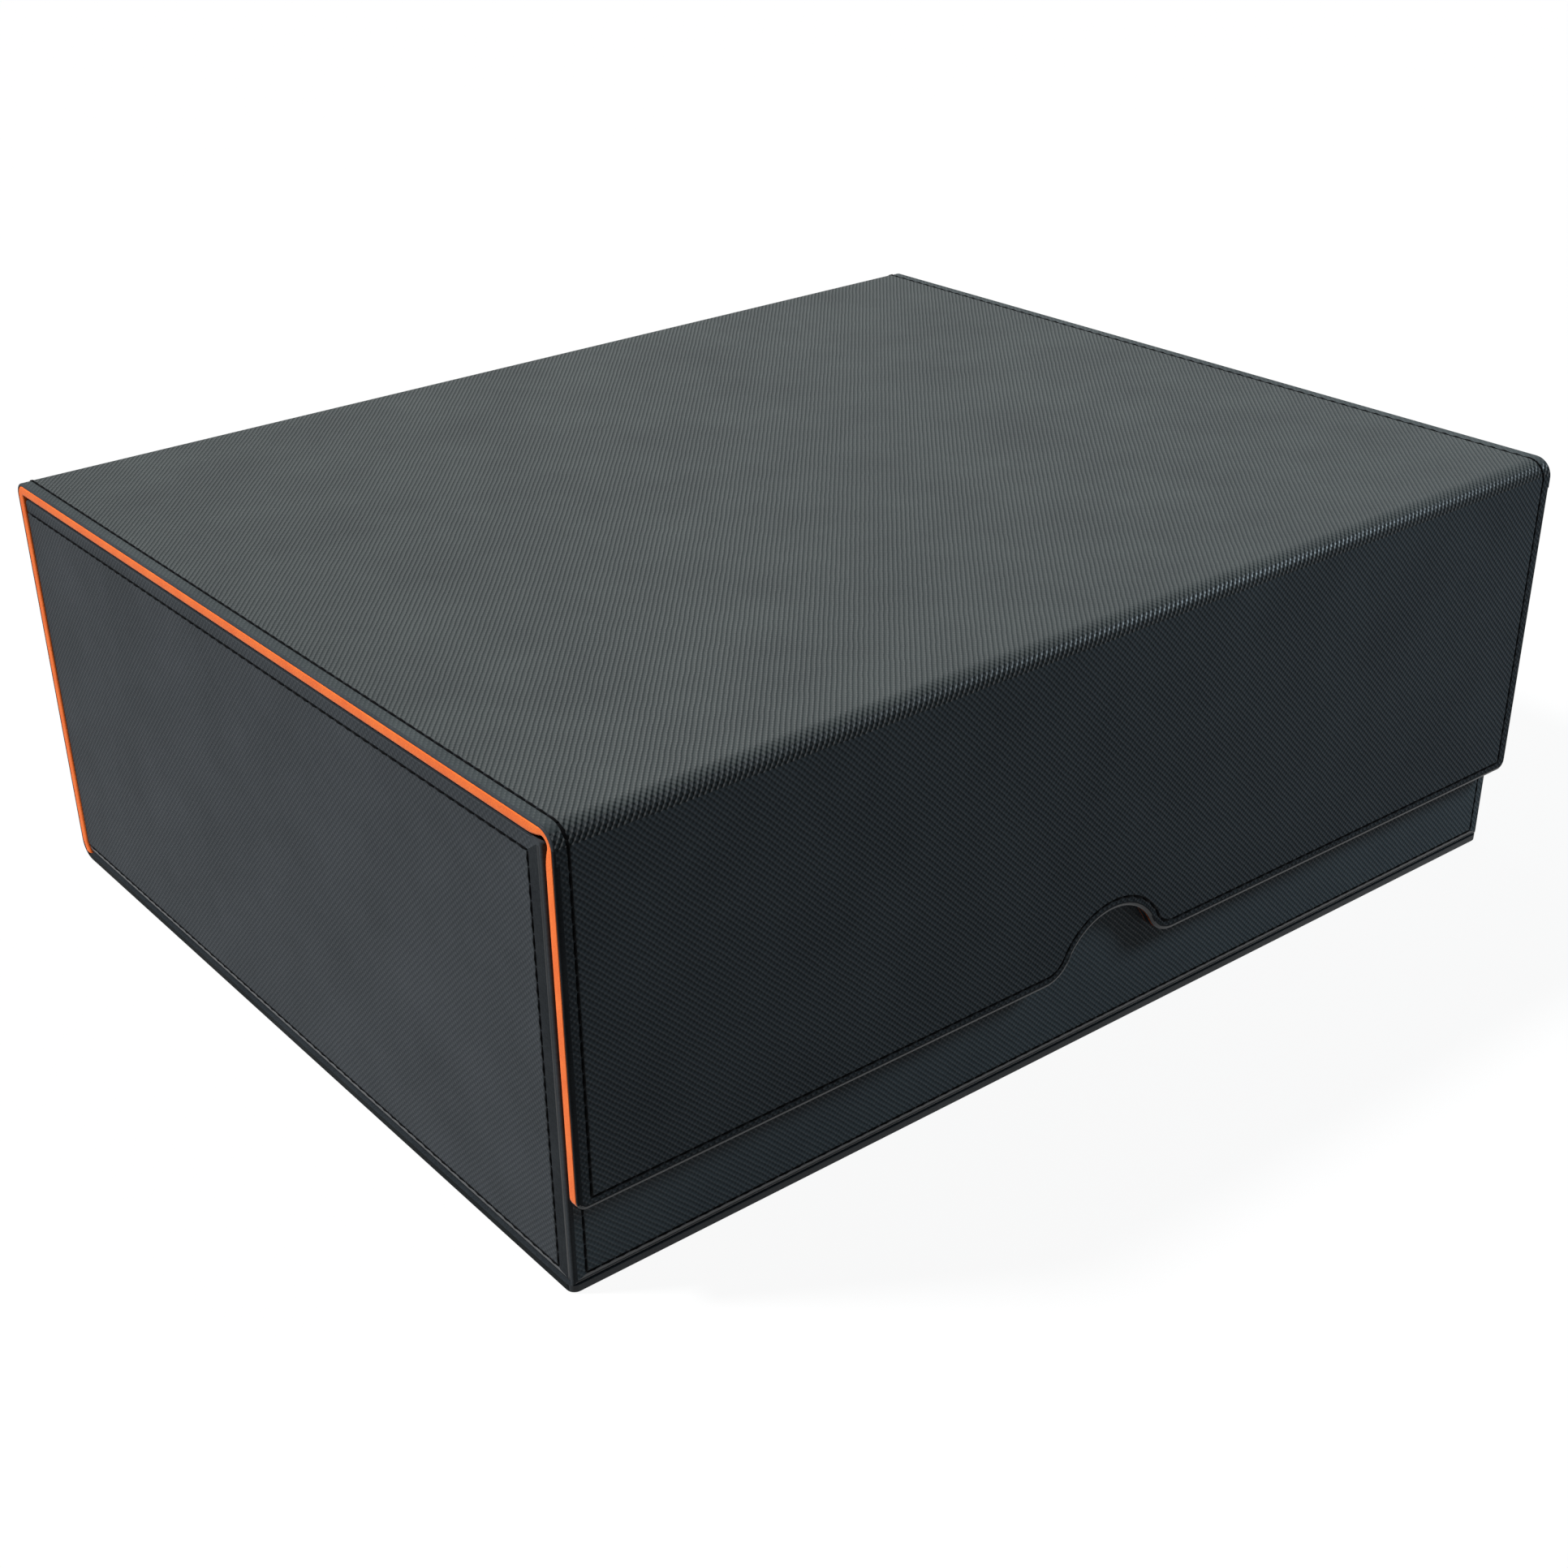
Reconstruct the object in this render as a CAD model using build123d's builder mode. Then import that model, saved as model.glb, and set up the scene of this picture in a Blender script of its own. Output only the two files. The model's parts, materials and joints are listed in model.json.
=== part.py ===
from build123d import *
from math import sqrt
import os

# A flip-top storage box for rows of cards. One cover runs up the back, over the top and down the front
# as a notched flap. It folds at the back top edge and at the front top edge, where it has no board.
# Lengths are in millimetres. +Z is up, the flap faces -Y, and the origin is under the middle of the base.

# Overall sizes
box_depth = 255.0  # front of the flap to the outside of the back panel
box_height = 113.0  # table to the top of the lid
box_width = 309.0  # base, back panel, lid and flap
wall_reveal = 0.5  # the side walls stand in from the base's edges by this
flap_lift = 24.5  # table to the flap's lower edge

# Sheets and boards
skin = 1.1  # embossed outer sheet
lining = 0.8  # napped cloth
panel_board = 1.7  # back, lid and flap
wall_board = 1.9
base_stiffener = 0.9
floor_stiffener = 1.9
insert_board = 1.6  # partitions and dividers

# Folds of the cover
lid_crease = 0.3  # inside radius at the back top edge
flap_crease = 1.4  # inside radius at the front top edge
base_fold = 5.0  # outside radius at the back bottom edge

# Gaps between pieces that move past each other
flap_gap = 1.2  # flap lining to the front wall
lid_gap = 0.8  # lid lining to the tops of the walls
divider_side_gap = 0.6
divider_floor_gap = 0.2

# Rounded edges and corners
skin_round = 0.4  # cut edges of the outer sheet
wall_edge = 1.5  # outer top edge of the walls
wall_corner = 1.0  # upright corners of the front wall
base_corner = 6.0
flap_corner = 2.5

# Finger notch in the flap
notch_width = 43.0
notch_height = 13.2
notch_shoulder = 8.6  # radius where the notch runs into the flap's lower edge

# Magnets in the flap, and the steel plates that they hold on to
magnet_length = 20.0
magnet_height = 10.0
magnet_thickness = 1.2
magnet_spacing = 150.0
magnet_rise = 14.0  # from the flap's lower edge to the magnets' middle
keeper_length = 24.0
keeper_height = 14.0
keeper_thickness = 0.8

# Rows, partitions and dividers
row_count = 4
partition_drop = 6.0  # from the tops of the walls down to the partitions
divider_height = 96.0
divider_corner = 4.0
divider_place_shares = (0.42, 0.58, 0.50, 0.66)  # of the rows' length, from the front

# Thickness of each built-up panel
panel = skin + panel_board + lining
wall = skin + wall_board
insert = lining + insert_board + lining

# Cover, seen from the side
half_depth = box_depth / 2
cover_left = -box_width / 2
back_face = half_depth - panel
lid_fold = panel + lid_crease
lid_fold_y = half_depth - lid_fold
lid_fold_z = box_height - lid_fold
flap_fold = panel + flap_crease
flap_fold_y = flap_fold - half_depth
flap_fold_z = box_height - flap_fold
base_rear = half_depth - base_fold

# Body, from outside to inside
body_width = box_width - 2 * wall_reveal
body_left = -body_width / 2
base_top = skin + base_stiffener
wall_top = box_height - panel - lid_gap
turn_in = wall_top - skin
front_face = panel + flap_gap - half_depth
front_board_back = front_face + wall
front_inner = front_board_back + lining
rear_board_front = back_face - wall_board
rear_inner = rear_board_front - lining
side_board_inner = body_width / 2 - wall
inner_half = side_board_inner - lining
floor_board_top = base_top + floor_stiffener
floor_level = floor_board_top + lining

# Rows
row_length = rear_inner - front_inner
row_width = (2 * inner_half - (row_count - 1) * insert) / row_count
row_pitch = row_width + insert
partition_top = wall_top - partition_drop

os.makedirs("parts", exist_ok=True)


def save(piece, name):
    """Label a finished piece and write it to a file of its own."""
    piece.label = name
    export_step(piece, f"parts/{name}.step")


def side_section(left, low_y, low_z, high_y, high_z):
    """A rectangle in the plane seen from the side, at x = left."""
    with BuildSketch(Plane.YZ.offset(left)) as section:
        with Locations((low_y, low_z)):
            Rectangle(high_y - low_y, high_z - low_z, align=Align.MIN)
    return section.sketch


def plan_section(level, centre, width, low_y, high_y):
    """A rectangle seen from above, at z = level."""
    with BuildSketch(Plane.XY.offset(level)) as section:
        with Locations((centre, low_y)):
            Rectangle(width, high_y - low_y, align=(Align.CENTER, Align.MIN))
    return section.sketch


def fold_section(centre, outer, inner, start):
    """A quarter ring seen from the side, at the left end of the cover."""
    with BuildSketch(Plane.YZ.offset(cover_left)) as section:
        with BuildLine():
            outside = CenterArc(centre, outer, start, 90)
            inside = CenterArc(centre, inner, start, 90)
            Line(outside @ 0, inside @ 0)
            Line(outside @ 1, inside @ 1)
        make_face()
    return section.sketch


# Base: a thin board in a sheet that turns up round its edges
def base_outline(level, inset):
    """Plan of the base, square at the rear, where the sheet runs on into the back panel."""
    with BuildSketch(Plane.XY.offset(level)) as plan:
        with Locations((0, base_rear)):
            length = base_rear - front_face - inset
            Rectangle(box_width - 2 * inset, length, align=(Align.CENTER, Align.MAX))
        fillet(plan.vertices().group_by(Axis.Y)[0], base_corner - inset)
    return plan.sketch


with BuildPart() as base_skin:
    extrude(base_outline(0, 0), amount=base_top)
    extrude(base_outline(skin, skin), amount=base_stiffener, mode=Mode.SUBTRACT)
    fillet(base_skin.edges().group_by(Axis.Z)[0].sort_by(Axis.Y)[:-1], skin_round)
save(base_skin.part, "base_skin")

with BuildPart() as base_board:
    extrude(base_outline(skin, skin), amount=base_stiffener)
save(base_board.part, "base_board")

# Back panel: its sheet bends under the box to meet the base, and its lining stops on the base
base_bend = base_fold - skin
bend_reach = sqrt(base_bend**2 - (base_fold - base_top) ** 2)
bend_angle = 90 - Vector(0, 1).get_angle(Vector(bend_reach, base_fold - base_top))
board_face = half_depth - skin

with BuildPart() as back_skin:
    with BuildSketch(Plane.YZ.offset(cover_left)):
        with BuildLine():
            outside = CenterArc((base_rear, base_fold), base_fold, -90, 90)
            inside = CenterArc((base_rear, base_fold), base_bend, -90, 90)
            Line(outside @ 0, inside @ 0)
            Polyline(outside @ 1, (half_depth, lid_fold_z), (board_face, lid_fold_z), inside @ 1)
        make_face()
    extrude(amount=box_width)
save(back_skin.part, "back_skin")

back_pocket = side_section(cover_left + lining, board_face - panel_board, base_fold, board_face, lid_fold_z - lining)
with BuildPart() as back_lining:
    with BuildSketch(Plane.YZ.offset(cover_left)):
        with BuildLine():
            bend = CenterArc((base_rear, base_fold), base_bend, -bend_angle, bend_angle)
            Polyline(
                bend @ 0,
                (back_face, base_top),
                (back_face, lid_fold_z),
                (board_face, lid_fold_z),
                bend @ 1,
            )
        make_face()
    extrude(amount=box_width)
    extrude(back_pocket, amount=box_width - 2 * lining, mode=Mode.SUBTRACT)
save(back_lining.part, "back_lining")

with BuildPart() as back_board:
    extrude(back_pocket, amount=box_width - 2 * lining)
save(back_board.part, "back_board")

# Lid: the lining wraps the board's edges, and the outer sheet is stitched over both
lid_board_top = box_height - skin
lid_lining_low = box_height - panel
lid_pocket = side_section(
    cover_left + lining, flap_fold_y + lining, lid_lining_low + lining, lid_fold_y - lining, lid_board_top
)

with BuildPart() as top_skin:
    extrude(side_section(cover_left, flap_fold_y, lid_board_top, lid_fold_y, box_height), amount=box_width)
    fillet(top_skin.edges().group_by(Axis.Z)[-1].filter_by(Axis.Y), skin_round)
save(top_skin.part, "top_skin")

with BuildPart() as top_lining:
    extrude(side_section(cover_left, flap_fold_y, lid_lining_low, lid_fold_y, lid_board_top), amount=box_width)
    extrude(lid_pocket, amount=box_width - 2 * lining, mode=Mode.SUBTRACT)
save(top_lining.part, "top_lining")

with BuildPart() as top_board:
    extrude(lid_pocket, amount=box_width - 2 * lining)
save(top_board.part, "top_board")

# Folds: sheet and lining with no board, so that the cover bends there
lid_fold_centre = (lid_fold_y, lid_fold_z)
flap_fold_centre = (flap_fold_y, flap_fold_z)

with BuildPart() as lid_fold_skin:
    extrude(fold_section(lid_fold_centre, lid_fold, lid_fold - skin, 0), amount=box_width)
save(lid_fold_skin.part, "lid_fold_skin")

with BuildPart() as lid_fold_lining:
    extrude(fold_section(lid_fold_centre, lid_fold - skin, lid_crease, 0), amount=box_width)
save(lid_fold_lining.part, "lid_fold_lining")

with BuildPart() as flap_fold_skin:
    extrude(fold_section(flap_fold_centre, flap_fold, flap_fold - skin, 90), amount=box_width)
save(flap_fold_skin.part, "flap_fold_skin")

with BuildPart() as flap_fold_lining:
    extrude(fold_section(flap_fold_centre, flap_fold - skin, flap_crease, 90), amount=box_width)
save(flap_fold_lining.part, "flap_fold_lining")


# Flap: the same three layers as the lid, with the finger notch cut in the lower edge
def flap_outline(front, inset):
    """Outline of the flap at y = front, drawn in by inset on every side."""
    half_width = box_width / 2 - inset
    low = flap_lift + inset
    high = flap_fold_z - inset
    reach = notch_width / 2
    arch = (reach**2 + notch_height**2) / (2 * notch_height) - notch_shoulder
    arch_centre = Vector(0, flap_lift + notch_height - arch)
    shoulder = notch_shoulder - inset
    with BuildSketch(Plane.XZ.offset(-front)) as outline:
        with BuildLine():
            right_centre = Vector(reach, flap_lift + notch_shoulder)
            left_centre = Vector(-reach, flap_lift + notch_shoulder)
            right_meet = right_centre + (arch_centre - right_centre).normalized() * shoulder
            left_meet = left_centre + (arch_centre - left_centre).normalized() * shoulder
            crown = arch_centre + Vector(0, arch + inset)
            right_foot = right_centre - Vector(0, shoulder)
            left_foot = left_centre - Vector(0, shoulder)
            ThreePointArc(left_meet, crown, right_meet)
            RadiusArc(right_meet, right_foot, -shoulder)
            RadiusArc(left_foot, left_meet, -shoulder)
            Polyline(
                right_foot,
                (half_width, low),
                (half_width, high),
                (-half_width, high),
                (-half_width, low),
                left_foot,
            )
        make_face()
        corners = outline.vertices().group_by(Axis.Y)[0]
        fillet([corners.sort_by(Axis.X)[0], corners.sort_by(Axis.X)[-1]], flap_corner - inset)
    return outline.sketch


def magnet_places(front, length, height):
    """Rectangles on the flap and the front wall where the flap's magnets meet their keeper plates."""
    with BuildSketch(Plane.XZ.offset(-front)) as places:
        with Locations((0, flap_lift + magnet_rise)):
            with GridLocations(magnet_spacing, 0, 2, 1):
                Rectangle(length, height)
    return places.sketch


flap_board_front = skin - half_depth
flap_board_back = flap_board_front + panel_board
magnet_spots = magnet_places(flap_board_back, magnet_length, magnet_height)

with BuildPart() as flap_skin:
    extrude(flap_outline(-half_depth, 0), amount=-skin)
    cut_edges = flap_skin.edges().group_by(Axis.Y)[0].sort_by(Axis.Z)[:-1]
    fillet(cut_edges, skin_round)
save(flap_skin.part, "flap_skin")

with BuildPart() as flap_lining:
    extrude(flap_outline(flap_board_front, 0), amount=-panel_board - lining)
    extrude(flap_outline(flap_board_front, lining), amount=-panel_board, mode=Mode.SUBTRACT)
save(flap_lining.part, "flap_lining")

with BuildPart() as flap_board:
    extrude(flap_outline(flap_board_front, lining), amount=-panel_board)
    extrude(magnet_spots, amount=magnet_thickness, mode=Mode.SUBTRACT)
save(flap_board.part, "flap_board")

with BuildPart() as flap_magnets:
    extrude(magnet_spots, amount=magnet_thickness)
save(flap_magnets.part, "flap_magnets")

# Front wall: its sheet turns over the board's top edge, and the side walls' sheets cover the board's ends
front_board_front = front_face + skin
front_board_width = body_width - 2 * skin
front_pocket = side_section(body_left + skin, front_board_front, base_top, front_board_back, turn_in)
keeper_spots = magnet_places(front_board_front, keeper_length, keeper_height)

with BuildPart() as front_wall_skin:
    extrude(side_section(body_left, front_face, base_top, front_board_front, wall_top), amount=body_width)
    extrude(side_section(body_left, front_board_front, turn_in, front_board_back, wall_top), amount=body_width)
    front_edges = front_wall_skin.edges().group_by(Axis.Y)[0]
    fillet(front_edges.filter_by(Axis.Z), wall_corner)
    fillet(front_wall_skin.edges().filter_by(Axis.X).group_by(Axis.Y)[0].sort_by(Axis.Z)[-1], wall_edge)
    lip = side_section(-inner_half, front_board_back, turn_in, front_inner, wall_top)
    extrude(lip, amount=2 * inner_half)
save(front_wall_skin.part, "front_wall_skin")

with BuildPart() as front_wall_board:
    extrude(front_pocket, amount=front_board_width)
    extrude(keeper_spots, amount=-keeper_thickness, mode=Mode.SUBTRACT)
save(front_wall_board.part, "front_wall_board")

with BuildPart() as keeper_plates:
    extrude(keeper_spots, amount=-keeper_thickness)
save(keeper_plates.part, "keeper_plates")

with BuildPart() as front_wall_lining:
    plan = plan_section(floor_board_top, 0, 2 * side_board_inner, front_board_back, front_inner)
    extrude(plan, amount=turn_in - floor_board_top)
save(front_wall_lining.part, "front_wall_lining")

# Side walls: their boards butt against the front board, and their sheets run on to the back of the front sheet
for side, sign in (("left", -1), ("right", 1)):
    outer = sign * body_width / 2
    board_out = outer - sign * skin
    board_in = sign * side_board_inner
    inner = sign * inner_half
    with BuildPart() as side_skin:
        with BuildSketch(Plane.XZ.offset(-back_face)):
            with BuildLine():
                Polyline(
                    (outer, base_top),
                    (outer, wall_top),
                    (inner, wall_top),
                    (inner, turn_in),
                    (board_out, turn_in),
                    (board_out, base_top),
                    close=True,
                )
            make_face()
        extrude(amount=back_face - front_board_back)
        side_edges = side_skin.edges().filter_by(Axis.Y).sort_by(Axis.X)
        outer_edges = side_edges[:2] if sign < 0 else side_edges[-2:]
        fillet(outer_edges.sort_by(Axis.Z)[-1], wall_edge)
        left = min(outer, board_out)
        extrude(side_section(left, front_board_front, base_top, front_board_back, turn_in), amount=skin)
    save(side_skin.part, f"{side}_wall_skin")
    with BuildPart() as side_board:
        middle = (board_out + board_in) / 2
        extrude(plan_section(base_top, middle, wall_board, front_board_back, back_face), amount=turn_in - base_top)
    save(side_board.part, f"{side}_wall_board")
    with BuildPart() as side_lining:
        middle = (board_in + inner) / 2
        height = turn_in - floor_board_top
        extrude(plan_section(floor_board_top, middle, lining, front_inner, rear_inner), amount=height)
    save(side_lining.part, f"{side}_wall_lining")

# Rear wall: glued to the back panel, with its lining turned over the top
with BuildPart() as rear_wall_board:
    plan = plan_section(base_top, 0, 2 * side_board_inner, rear_board_front, back_face)
    extrude(plan, amount=turn_in - base_top)
save(rear_wall_board.part, "rear_wall_board")

with BuildPart() as rear_wall_lining:
    plan = plan_section(floor_board_top, 0, 2 * side_board_inner, rear_inner, rear_board_front)
    extrude(plan, amount=turn_in - floor_board_top)
    extrude(plan_section(turn_in, 0, 2 * inner_half, rear_inner, back_face), amount=lining)
save(rear_wall_lining.part, "rear_wall_lining")

# Floor of the body, on the base
with BuildPart() as floor_board:
    plan = plan_section(base_top, 0, 2 * side_board_inner, front_board_back, rear_board_front)
    extrude(plan, amount=floor_stiffener)
save(floor_board.part, "floor_board")

with BuildPart() as floor_lining:
    extrude(plan_section(floor_board_top, 0, 2 * inner_half, front_inner, rear_inner), amount=lining)
save(floor_lining.part, "floor_lining")

# Partitions between the rows: a board in a sleeve of lining that is open below
for number in range(1, row_count):
    left = -inner_half + number * row_pitch - insert
    low_y, high_y = front_inner + lining, rear_inner - lining
    core = side_section(left + lining, low_y, floor_level, high_y, partition_top - lining)
    with BuildPart() as partition_sleeve:
        extrude(side_section(left, front_inner, floor_level, rear_inner, partition_top), amount=insert)
        extrude(core, amount=insert_board, mode=Mode.SUBTRACT)
    save(partition_sleeve.part, f"partition_sleeve_{number}")
    with BuildPart() as partition_board:
        extrude(core, amount=insert_board)
    save(partition_board.part, f"partition_board_{number}")


# Dividers: one in each row, free to slide along it
def divider_outline(front, centre, inset):
    """Front view of a divider, with rounded top corners."""
    width = row_width - 2 * divider_side_gap - 2 * inset
    with BuildSketch(Plane.XZ.offset(-front)) as outline:
        with Locations((centre, floor_level + divider_floor_gap)):
            Rectangle(width, divider_height - inset, align=(Align.CENTER, Align.MIN))
        fillet(outline.vertices().group_by(Axis.Y)[-1], divider_corner - inset)
    return outline.sketch


for number, place_share in enumerate(divider_place_shares, start=1):
    centre = row_width / 2 - inner_half + (number - 1) * row_pitch
    front = front_inner + place_share * row_length - insert / 2
    core = divider_outline(front + lining, centre, lining)
    with BuildPart() as divider_sleeve:
        extrude(divider_outline(front, centre, 0), amount=-insert)
        extrude(core, amount=-insert_board, mode=Mode.SUBTRACT)
    save(divider_sleeve.part, f"divider_sleeve_{number}")
    with BuildPart() as divider_board:
        extrude(core, amount=-insert_board)
    save(divider_board.part, f"divider_board_{number}")
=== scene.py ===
import json
from math import atan2, cos, pi, radians, sin

import bmesh
import bpy
from mathutils import Euler, Matrix, Vector


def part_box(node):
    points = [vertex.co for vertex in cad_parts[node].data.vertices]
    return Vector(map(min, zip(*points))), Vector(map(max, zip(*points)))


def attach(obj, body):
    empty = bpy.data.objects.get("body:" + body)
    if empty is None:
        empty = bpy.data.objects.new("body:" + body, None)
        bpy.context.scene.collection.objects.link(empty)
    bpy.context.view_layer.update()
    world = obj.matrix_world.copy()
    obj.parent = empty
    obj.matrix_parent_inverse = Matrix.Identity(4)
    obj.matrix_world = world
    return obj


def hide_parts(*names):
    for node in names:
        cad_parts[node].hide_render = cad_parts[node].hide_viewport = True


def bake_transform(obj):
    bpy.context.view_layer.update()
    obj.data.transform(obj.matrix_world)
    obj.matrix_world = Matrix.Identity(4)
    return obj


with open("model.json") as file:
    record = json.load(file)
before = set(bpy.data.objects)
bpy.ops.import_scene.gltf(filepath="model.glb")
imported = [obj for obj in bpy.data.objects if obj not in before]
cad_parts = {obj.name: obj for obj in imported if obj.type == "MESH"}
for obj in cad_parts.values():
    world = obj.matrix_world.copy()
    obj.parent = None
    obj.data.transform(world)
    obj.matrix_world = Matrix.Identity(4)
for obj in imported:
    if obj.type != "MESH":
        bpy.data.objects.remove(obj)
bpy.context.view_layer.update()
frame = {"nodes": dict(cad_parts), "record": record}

# Lengths are in metres, and sizes that the frame doesn't give are written in millimetres
MM = 0.001

# Cut edges, margins and stitch grooves of the embossed sheet
edge_roll = 0.45 * MM  # the cover's cut edges are rolled over this far
flap_roll = 0.55 * MM
wall_roll = 0.9 * MM
roll_reach = 1.2 * MM  # the flap's and the walls' edges are rolled over flatter, from this far in
roll_steps = 6
cover_sheet = 0.7 * MM  # thickness that the cover's sheet shows at its edges
margin_drop = 0.05 * MM  # the margin outside a seam is pressed flat, this far under the field
groove_reach = 0.5 * MM  # half the width of the groove that a seam lies in
groove_depth = 0.22 * MM
groove_steps = 6  # across the groove
groove_shade_steps = 2  # of them, on each side of the seam, are painted dark as the groove's shade
field_rim = 0.4 * MM  # level strip round a field
cover_seam = 3.4 * MM  # from the cover's side edges to its seams
flap_seam = 2.6 * MM  # from the flap's lower edge
wall_seam_bottom = 2.2 * MM
wall_seam_top = 3.7 * MM
wall_seam_front = 4.4 * MM  # on the side walls
wall_seam_side = 3.5 * MM  # on the front wall, from its corners

# Stitches
stitch_pitch = 3.7 * MM
stitch_length = 3.45 * MM
stitch_width = 0.62 * MM
stitch_lift = 0.14 * MM  # from the bottom of the groove to the middle of a stitch
stitch_dip = 0.2 * MM  # the ends of a stitch go down into their holes
stitch_sides = 8
stitch_rings = 6
even_stitches = 3  # a straight run of more stitches than this has them evenly spaced

# Embossed ribs, in two sets that cross
rib_pitch = 1.11 * MM
rib_height = 0.38 * MM
fold_rib_height = 0.5 * MM
flap_rib_height = 0.25 * MM
wall_rib_height = 0.18 * MM
margin_rib_height = 0.12 * MM  # the sewn margins are pressed flatter
side_rib_height = 0.09 * MM  # and so are the side walls
first_rib_turn = radians(-41)  # from across the sheet towards along it
second_rib_turn = radians(45)

# Outlines of the flap and the base
flap_corner = 2.5 * MM
flap_corner_steps = 6
notch_width = 43.0 * MM
notch_height = 13.2 * MM
notch_shoulder = 8.6 * MM
notch_arch_steps = 24
notch_shoulder_steps = 10
base_corner = 2.2 * MM
base_corner_steps = 8

# Napped lining of the cover
lining_cloth = 0.8 * MM
lining_round = 0.8 * MM
lining_soft_edge = 0.3 * MM

# Cloth inside the box
row_count = 4  # rows of cards, with a partition between each two
cloth_round = 0.4 * MM  # edges of the sheets glued to the walls and the floor
sleeve_round = 1.0 * MM  # edges of the sleeves round the partitions and dividers
soft_steps = 4  # round a soft edge
divider_corner = 4.0 * MM
divider_corner_steps = 8
divider_seam = 3.0 * MM

# Folds: the bent pieces run on this far over the flat panels beside them
sheet_reach = 2.5 * MM
lining_reach = 4.0 * MM
fold_steps = 16
reach_steps = 5
channel_share = 0.55  # of the depth of the strip inside the flap's fold

# Limits for modelling
spare = 12.0 * MM  # outlines run past an end by this, and are cut there
same_place = 0.02 * MM
same_point = 0.002 * MM
corner_merge = 0.2 * MM  # a rounded corner that an inset has closed up becomes one point
smooth_angle = radians(30)
edge_lean_share = 0.1  # of a face's normal, from which it counts as leaning that way
crest_lean_share = 0.75  # from which a face of a rolled edge still has the margin's leather
level_share = 0.9  # from which it counts as looking that way

# Places that the frame gives
top_low, top_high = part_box("top_skin")
flap_low, flap_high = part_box("flap_skin")
back_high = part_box("back_skin")[1]
base_low, base_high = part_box("base_skin")
cover_left = flap_low.x
cover_right = flap_high.x
cover_middle = (cover_left + cover_right) / 2
lid_top = top_high.z
sheet = top_high.z - top_low.z
panel = lid_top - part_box("top_lining")[0].z
flap_fold = Vector((0, top_low.y, flap_high.z))
flap_radius = lid_top - flap_fold.z
lid_fold = Vector((0, top_high.y, back_high.z))
lid_radius = lid_top - lid_fold.z
lid_run = lid_fold.y - flap_fold.y
base_radius = back_high.y - base_high.y
base_fold = Vector((0, base_high.y, base_radius))
quarter = pi / 2
flap_fold_end = -flap_radius * quarter  # lengths along the cover at which its folds end
lid_fold_end = lid_run + lid_radius * quarter

RIGHT = Vector((1, 0, 0))
REAR = Vector((0, 1, 0))
UP = Vector((0, 0, 1))


# Modelling by hand, in edit mode
def start_piece(name, place):
    """Start a piece as a single point, in edit mode."""
    bpy.ops.object.select_all(action="DESELECT")
    bpy.ops.mesh.primitive_plane_add(size=MM)
    piece = bpy.context.object
    piece.name = name
    piece.data.name = name
    bpy.ops.object.mode_set(mode="EDIT")
    bpy.ops.mesh.select_all(action="SELECT")
    bpy.ops.mesh.merge(type="CENTER")
    bpy.ops.mesh.select_all(action="SELECT")
    bpy.ops.transform.translate(value=place)
    return piece


def line(step):
    """Draw a straight line on from the last point."""
    bpy.ops.mesh.extrude_vertices_move(TRANSFORM_OT_translate={"value": step})


def arc(centre, angle, axis, steps):
    """Draw an arc on from the last point, or sweep a section round a fold. Spin turns left-handed."""
    bpy.ops.mesh.spin(steps=steps, angle=-angle, center=centre, axis=axis)


def sweep(step):
    """Sweep the selected section on in a straight run."""
    bpy.ops.mesh.extrude_region_move(TRANSFORM_OT_translate={"value": step})


def sweep_round(fold, start, end, reach, steps=1):
    """Sweep the selected section up to a fold, round it and on, with a straight reach on either side."""
    for _ in range(steps):
        sweep(start * (reach / steps))
    arc(fold, quarter, RIGHT, fold_steps)
    for _ in range(steps):
        sweep(end * (reach / steps))


def trace(name, places):
    """Start a piece as a closed outline through these places, and select all of it."""
    piece = start_piece(name, places[0])
    for here, there in zip(places, places[1:]):
        line(there - here)
    close_outline(piece)
    return piece


def mirrored_section(name, edge, place, left, right):
    """Start a piece as a closed section with the same edge at its left and its right side.

    The edge has distances in and heights, and place() turns a width and a height into a point.
    """
    left_edge = [place(left + inset, height) for inset, height in edge]
    right_edge = [place(right - inset, height) for inset, height in reversed(edge)]
    return trace(name, left_edge + right_edge)


def close_outline(piece):
    """Join the two ends of a drawn line."""
    bpy.ops.mesh.select_all(action="SELECT")
    bpy.ops.mesh.remove_doubles(threshold=same_point)
    bpy.ops.mesh.select_all(action="DESELECT")
    mesh = bmesh.from_edit_mesh(piece.data)
    for point in mesh.verts:
        if len(point.link_edges) == 1:
            point.select_set(True)
    bmesh.update_edit_mesh(piece.data)
    if piece.data.total_vert_sel:
        bpy.ops.mesh.edge_face_add()
    bpy.ops.mesh.select_all(action="SELECT")


def fill_outline(piece, out):
    """Fill a closed outline with one face that looks outwards."""
    bpy.ops.mesh.edge_face_add()
    mesh = bmesh.from_edit_mesh(piece.data)
    mesh.faces.ensure_lookup_table()
    mesh.normal_update()
    if mesh.faces[0].normal.dot(out) < 0:
        bpy.ops.mesh.flip_normals()


def select_faces(piece, wanted):
    """Select only the faces that wanted() picks."""
    bpy.ops.mesh.select_all(action="DESELECT")
    mesh = bmesh.from_edit_mesh(piece.data)
    for face in mesh.faces:
        if wanted(face):
            face.select_set(True)
    bmesh.update_edit_mesh(piece.data)


def selected_outline(piece):
    """Corners of the one selected face, in order."""
    mesh = bmesh.from_edit_mesh(piece.data)
    face = next(face for face in mesh.faces if face.select)
    return [point.co.copy() for point in face.verts]


def cut(place, facing):
    """Cut the whole piece off at a plane, on the side that the plane faces, and close it there."""
    bpy.ops.mesh.select_all(action="SELECT")
    bpy.ops.mesh.bisect(plane_co=place, plane_no=facing, use_fill=True, clear_outer=True)


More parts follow.
